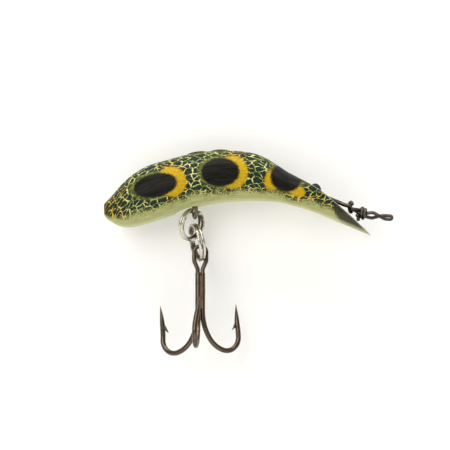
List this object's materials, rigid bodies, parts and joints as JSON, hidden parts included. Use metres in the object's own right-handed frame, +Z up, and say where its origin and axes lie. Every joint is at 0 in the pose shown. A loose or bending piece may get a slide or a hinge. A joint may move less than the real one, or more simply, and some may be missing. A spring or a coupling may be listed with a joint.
{
  "type": "fishing lure",
  "caption": "Banana-shaped painted wooden fishing plug with a dished face, a wire line tie, and a treble hook on two split rings under the belly.",
  "frame": {"origin": "centre of the line tie screw eye's ring, where the plug is held", "axes": "+X towards the head, +Z up with the plug in its swimming position, +Y across the body"},
  "size_m": [0.068, 0.0208, 0.0482],
  "materials": {
    "painted_wood": "gloss varnish over crackled green paint with black spots and a pale belly",
    "eye_wire": "tarnished",
    "tie_wire": "dull brown-black",
    "ring_nickel": "nickel plate with dark tarnish",
    "hook_bronze": "bronzed",
    "braze": "dull copper brown"
  },
  "bodies": {
    "plug": {"body": "painted_wood", "line_tie_screw_eye": "eye_wire", "belly_screw_eye": "eye_wire"},
    "tie_link": {"line_tie_link": "tie_wire"},
    "upper_ring": {"upper_split_ring": "ring_nickel"},
    "lower_ring": {"lower_split_ring": "ring_nickel"},
    "treble_hook": {"treble_double_hook": "hook_bronze", "treble_single_hook": "hook_bronze", "treble_braze": "braze"}
  },
  "joints": [
    {"name": "tie_link_swing", "type": "hinge", "parent": "plug", "child": "tie_link", "pos_m": [-0.0003, 0.00111, 0], "axis": [0, 0, 1], "range_deg": [-16, 18]},
    {"name": "upper_ring_swing", "type": "hinge", "parent": "plug", "child": "upper_ring", "pos_m": [-0.03668, 0, -0.0025], "axis": [-0.2079, 0.9781, 0], "range_deg": [-16, 16]},
    {"name": "lower_ring_swing", "type": "hinge", "parent": "upper_ring", "child": "lower_ring", "pos_m": [-0.03832, 0, -0.0075], "axis": [0.6371, 0.7547, -0.1565], "range_deg": [-25, 14]},
    {"name": "hook_swing", "type": "hinge", "parent": "lower_ring", "child": "treble_hook", "pos_m": [-0.03537, 0, -0.0124], "axis": [0.27, -0.9613, 0.0554], "range_deg": [-25, 25]}
  ]
}
